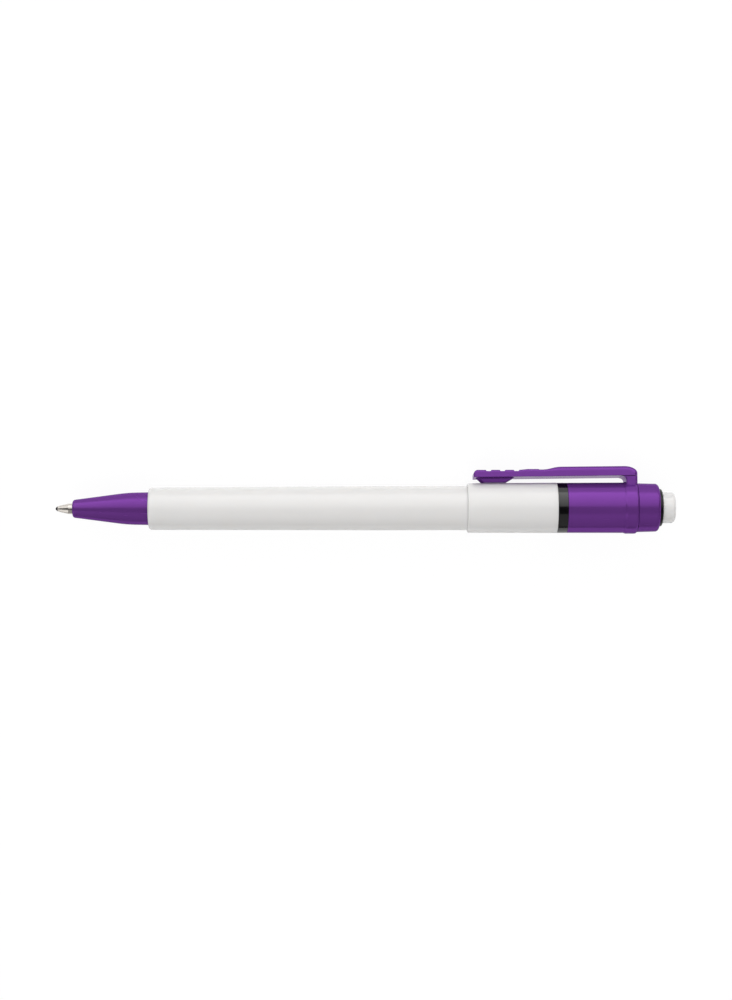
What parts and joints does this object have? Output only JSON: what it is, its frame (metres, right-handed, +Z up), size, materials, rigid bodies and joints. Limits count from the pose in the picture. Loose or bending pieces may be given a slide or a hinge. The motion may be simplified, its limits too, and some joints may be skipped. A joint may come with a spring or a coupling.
{
  "type": "ballpoint pen",
  "caption": "Retractable ballpoint pen with a white barrel, purple nose cone, housing, cap and moulded clip, a black spacer ring and a white push button that slides the refill.",
  "frame": {"origin": "middle of the bounding box in plan, at the level of the surface that the pen lies on", "axes": "+X along the pen from the writing tip to the push button, +Z up, and the clip towards +Y and a little down, as the pen lies on its clip collar and on the outer corner of its clip"},
  "size_m": [0.14, 0.0154, 0.0118],
  "materials": {
    "purple_plastic": "moulded, glossy, purple",
    "white_plastic": "moulded, glossy, white",
    "black_plastic": "moulded, glossy, black",
    "natural_plastic": "moulded, uncoloured, slightly milky",
    "tip_metal": "turned and nickel plated",
    "ball_metal": "ground and polished",
    "spring_wire": "drawn wire",
    "ink": "thick paste ink",
    "grease": "clear grease"
  },
  "bodies": {
    "pen_body": {"nose_cone": "purple_plastic", "lower_barrel": "white_plastic", "upper_barrel": "white_plastic", "spacer_ring": "black_plastic", "rear_housing": "purple_plastic", "clip_collar": "purple_plastic", "end_cap": "purple_plastic", "end_bush": "black_plastic", "guide_sleeve": "black_plastic", "return_spring": "spring_wire"},
    "clip": {"clip_arm": "purple_plastic"},
    "button": {"push_button": "white_plastic", "plunger": "natural_plastic"},
    "refill": {"refill_tip": "tip_metal", "tip_holder": "natural_plastic", "refill_tube": "natural_plastic", "ink_column": "ink", "grease_follower": "grease"},
    "rotor": {"cam_rotor": "natural_plastic"},
    "ball": {"writing_ball": "ball_metal"}
  },
  "joints": [
    {"name": "button_slide", "type": "slide", "parent": "pen_body", "child": "button", "axis": [1, 0, 0], "range_m": [-0.0012, 0.005]},
    {"name": "refill_slide", "type": "slide", "parent": "pen_body", "child": "refill", "axis": [1, 0, 0], "range_m": [-0.0012, 0.005], "deforming": ["return_spring"]},
    {"name": "rotor_turn", "type": "hinge", "parent": "refill", "child": "rotor", "pos_m": [0.042, -0.0018, 0.00588], "axis": [1, 0, 0], "continuous": true},
    {"name": "ball_roll", "type": "hinge", "parent": "refill", "child": "ball", "pos_m": [-0.0696, -0.0018, 0.00588], "axis": [0, 1, 0], "continuous": true},
    {"name": "clip_flex", "type": "hinge", "parent": "pen_body", "child": "clip", "pos_m": [0.06035, 0.00474, 0.00354], "axis": [0, -0.3376, -0.9413], "range_deg": [0, 4], "stiffness_Nm_per_rad": 2.5}
  ],
  "couplings": [
    {"joint": "refill_slide", "follows": "button_slide", "ratio": 1}
  ]
}
